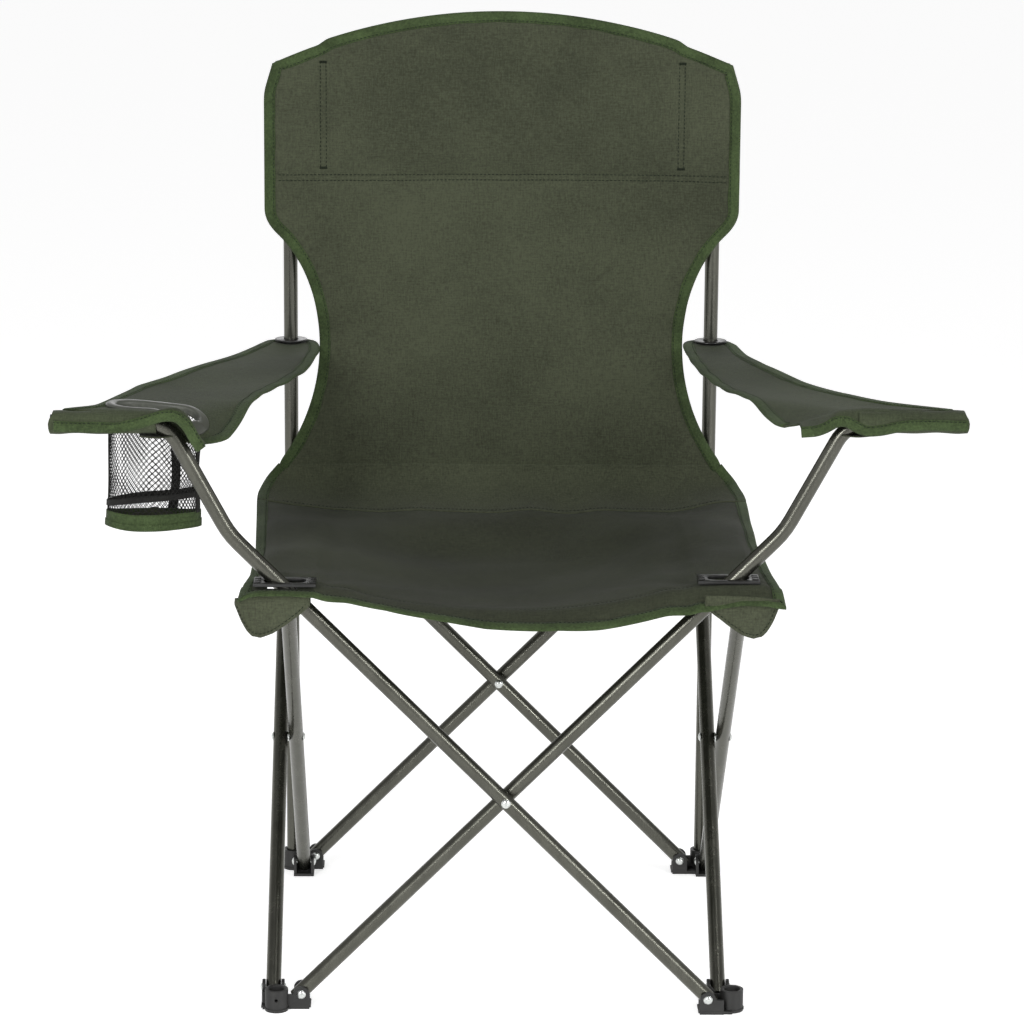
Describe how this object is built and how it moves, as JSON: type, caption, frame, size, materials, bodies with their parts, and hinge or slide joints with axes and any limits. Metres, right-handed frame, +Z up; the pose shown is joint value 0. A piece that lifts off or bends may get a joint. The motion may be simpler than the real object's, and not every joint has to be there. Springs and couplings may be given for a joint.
{
  "type": "folding camp chair",
  "caption": "Folding camp chair with crossed steel tubes, plastic feet and sliders, a padded sling seat and back, cloth armrests and a hanging mesh cup holder.",
  "frame": {"origin": "centre of the bounding box at floor level, under the middle of the chair", "axes": "+Z up, -Y the front that the sitter faces, +X across the chair towards the right of someone who looks at it from the front"},
  "size_m": [0.876, 0.5038, 0.9459],
  "materials": {
    "zinc": "zinc plated, bright",
    "moulding": "moulded, fine grain",
    "black_plastic": "moulded, semi gloss",
    "seat_cloth": "coated plain weave polyester",
    "back_cloth": "coated plain weave polyester",
    "foam_cloth": "foam wadding inside the cloth",
    "grey_plastic": "moulded, satin",
    "mesh": "open diamond net with black tape",
    "green_binding": "woven edge tape",
    "tube_paint": "powder coat, satin, bronze grey"
  },
  "bodies": {
    "rear_left_post": {"foot_rear_left": "moulding", "foot_rivets_rear_left": "zinc", "post_left": "tube_paint", "post_cap_left": "black_plastic", "post_screw_left": "zinc", "back_panel": "back_cloth", "head_pad": "foam_cloth", "back_sleeve_left": "back_cloth"},
    "rear_outer": {"rear_tube_outer": "tube_paint", "cross_pivot_rear": "zinc"},
    "rear_inner": {"rear_tube_inner": "tube_paint"},
    "rear_right_post": {"foot_rear_right": "moulding", "foot_rivets_rear_right": "zinc", "post_right": "tube_paint", "post_cap_right": "black_plastic", "post_screw_right": "zinc", "back_sleeve_right": "back_cloth"},
    "slider_left": {"slider_left": "moulding", "slider_rivets_left": "zinc"},
    "slider_right": {"slider_right": "moulding", "slider_rivets_right": "zinc"},
    "left_inner": {"left_tube_inner": "tube_paint", "cross_pivot_left": "zinc"},
    "left_outer": {"left_tube_outer": "tube_paint"},
    "front_left_foot": {"foot_front_left": "moulding", "foot_rivets_front_left": "zinc"},
    "hub_left": {"hub_left": "moulding", "hub_rivets_left": "zinc", "grommet_left": "black_plastic", "seat_pocket_left": "seat_cloth"},
    "right_outer": {"right_tube_outer": "tube_paint", "cross_pivot_right": "zinc"},
    "right_inner": {"right_tube_inner": "tube_paint"},
    "front_right_foot": {"foot_front_right": "moulding", "foot_rivets_front_right": "zinc"},
    "hub_right": {"hub_right": "moulding", "hub_rivets_right": "zinc", "grommet_right": "black_plastic", "seat_pocket_right": "seat_cloth"},
    "front_inner": {"arm_tube_right": "tube_paint", "stub_cap_right": "black_plastic", "arm_sleeve_right": "back_cloth", "cross_pivot_front": "zinc"},
    "front_outer": {"arm_tube_left": "tube_paint", "stub_cap_left": "black_plastic", "arm_sleeve_left": "back_cloth"},
    "arm_left": {"arm_pad_left": "back_cloth", "cup_ring": "grey_plastic"},
    "arm_right": {"arm_pad_right": "back_cloth"},
    "cup_holder": {"cup_bag": "mesh", "cup_base": "green_binding"},
    "arm_ring_left": {"arm_ring_left": "black_plastic"},
    "arm_ring_right": {"arm_ring_right": "black_plastic"},
    "seat_front": {"seat_front": "seat_cloth"},
    "seat_rear": {"seat_rear": "seat_cloth"}
  },
  "joints": [
    {"name": "fold", "type": "hinge", "parent": "rear_left_post", "child": "rear_outer", "pos_m": [-0.20117, 0.2295, 0.015], "axis": [0, -1, 0], "range_deg": [0, 40], "deforming": ["back_panel", "head_pad", "seat_front", "seat_rear", "arm_pad_left", "arm_pad_right", "cup_ring", "cup_bag", "cup_base"]},
    {"name": "rear_cross", "type": "hinge", "parent": "rear_outer", "child": "rear_inner", "pos_m": [0, 0.2215, 0.21617], "axis": [0, 1, 0], "range_deg": [0, 80]},
    {"name": "rear_right_foot", "type": "hinge", "parent": "rear_inner", "child": "rear_right_post", "pos_m": [0.20117, 0.2135, 0.015], "axis": [0, -1, 0], "range_deg": [0, 40]},
    {"name": "slider_left_pivot", "type": "hinge", "parent": "rear_inner", "child": "slider_left", "pos_m": [-0.20117, 0.2135, 0.41734], "axis": [0, -1, 0], "range_deg": [0, 40]},
    {"name": "slider_right_pivot", "type": "hinge", "parent": "rear_outer", "child": "slider_right", "pos_m": [0.20117, 0.2295, 0.41734], "axis": [0, 1, 0], "range_deg": [0, 40]},
    {"name": "left_foot", "type": "hinge", "parent": "rear_left_post", "child": "left_inner", "pos_m": [-0.2135, 0.20117, 0.015], "axis": [-1, 0, 0], "range_deg": [0, 40]},
    {"name": "left_cross", "type": "hinge", "parent": "left_inner", "child": "left_outer", "pos_m": [-0.2215, 0, 0.21617], "axis": [1, 0, 0], "range_deg": [0, 80]},
    {"name": "front_left_foot_pivot", "type": "hinge", "parent": "left_outer", "child": "front_left_foot", "pos_m": [-0.2295, -0.20117, 0.015], "axis": [-1, 0, 0], "range_deg": [0, 40]},
    {"name": "hub_left_pivot", "type": "hinge", "parent": "left_inner", "child": "hub_left", "pos_m": [-0.2135, -0.20117, 0.41734], "axis": [1, 0, 0], "range_deg": [0, 40]},
    {"name": "right_foot", "type": "hinge", "parent": "rear_right_post", "child": "right_outer", "pos_m": [0.2295, 0.20117, 0.015], "axis": [-1, 0, 0], "range_deg": [0, 40]},
    {"name": "right_cross", "type": "hinge", "parent": "right_outer", "child": "right_inner", "pos_m": [0.2215, 0, 0.21617], "axis": [1, 0, 0], "range_deg": [0, 80]},
    {"name": "front_right_foot_pivot", "type": "hinge", "parent": "right_inner", "child": "front_right_foot", "pos_m": [0.2135, -0.20117, 0.015], "axis": [-1, 0, 0], "range_deg": [0, 40]},
    {"name": "hub_right_pivot", "type": "hinge", "parent": "right_outer", "child": "hub_right", "pos_m": [0.2295, -0.20117, 0.41734], "axis": [1, 0, 0], "range_deg": [0, 40]},
    {"name": "front_foot", "type": "hinge", "parent": "front_left_foot", "child": "front_inner", "pos_m": [-0.20117, -0.2135, 0.015], "axis": [0, -1, 0], "range_deg": [0, 40]},
    {"name": "front_cross", "type": "hinge", "parent": "front_inner", "child": "front_outer", "pos_m": [0, -0.2215, 0.21617], "axis": [0, 1, 0], "range_deg": [0, 80]},
    {"name": "arm_left_swing", "type": "hinge", "parent": "front_outer", "child": "arm_left", "pos_m": [-0.38697, -0.2295, 0.59324], "axis": [-1, 0, 0], "range_deg": [0, 59.2]},
    {"name": "arm_right_swing", "type": "hinge", "parent": "front_inner", "child": "arm_right", "pos_m": [0.38697, -0.2135, 0.59324], "axis": [-1, 0, 0], "range_deg": [0, 63.2]},
    {"name": "cup_holder_hang", "type": "hinge", "parent": "arm_left", "child": "cup_holder", "pos_m": [-0.339, -0.178, 0.6], "axis": [0.805, -0.5158, -0.293], "range_deg": [0, 70.42]},
    {"name": "seat_front_fold", "type": "hinge", "parent": "hub_left", "child": "seat_front", "pos_m": [0, -0.225, 0.433], "axis": [-1, 0, 0], "range_deg": [0, 78]},
    {"name": "seat_rear_fold", "type": "hinge", "parent": "rear_left_post", "child": "seat_rear", "pos_m": [0, 0.205, 0.433], "axis": [1, 0, 0], "range_deg": [0, 82.8]},
    {"name": "arm_ring_left_slide", "type": "slide", "parent": "rear_left_post", "child": "arm_ring_left", "axis": [0, 0, 1], "range_m": [0, 0.014]},
    {"name": "arm_ring_right_slide", "type": "slide", "parent": "rear_right_post", "child": "arm_ring_right", "axis": [0, 0, 1], "range_m": [0, 0.014]}
  ],
  "couplings": [
    {"joint": "rear_cross", "follows": "fold", "ratio": 2},
    {"joint": "rear_right_foot", "follows": "fold", "ratio": 1},
    {"joint": "slider_left_pivot", "follows": "fold", "ratio": 1},
    {"joint": "slider_right_pivot", "follows": "fold", "ratio": 1},
    {"joint": "left_foot", "follows": "fold", "ratio": 1},
    {"joint": "left_cross", "follows": "fold", "ratio": 2},
    {"joint": "front_left_foot_pivot", "follows": "fold", "ratio": 1},
    {"joint": "hub_left_pivot", "follows": "fold", "ratio": 1},
    {"joint": "right_foot", "follows": "fold", "ratio": 1},
    {"joint": "right_cross", "follows": "fold", "ratio": 2},
    {"joint": "front_right_foot_pivot", "follows": "fold", "ratio": 1},
    {"joint": "hub_right_pivot", "follows": "fold", "ratio": 1},
    {"joint": "front_foot", "follows": "fold", "ratio": 1},
    {"joint": "front_cross", "follows": "fold", "ratio": 2},
    {"joint": "arm_left_swing", "follows": "fold", "ratio": 1.48},
    {"joint": "arm_right_swing", "follows": "fold", "ratio": 1.58},
    {"joint": "cup_holder_hang", "follows": "fold", "ratio": 1.7604},
    {"joint": "seat_front_fold", "follows": "fold", "ratio": 1.95},
    {"joint": "seat_rear_fold", "follows": "fold", "ratio": 2.07},
    {"joint": "arm_ring_left_slide", "follows": "fold", "m_per_rad": 0.020053},
    {"joint": "arm_ring_right_slide", "follows": "fold", "m_per_rad": 0.020053}
  ]
}
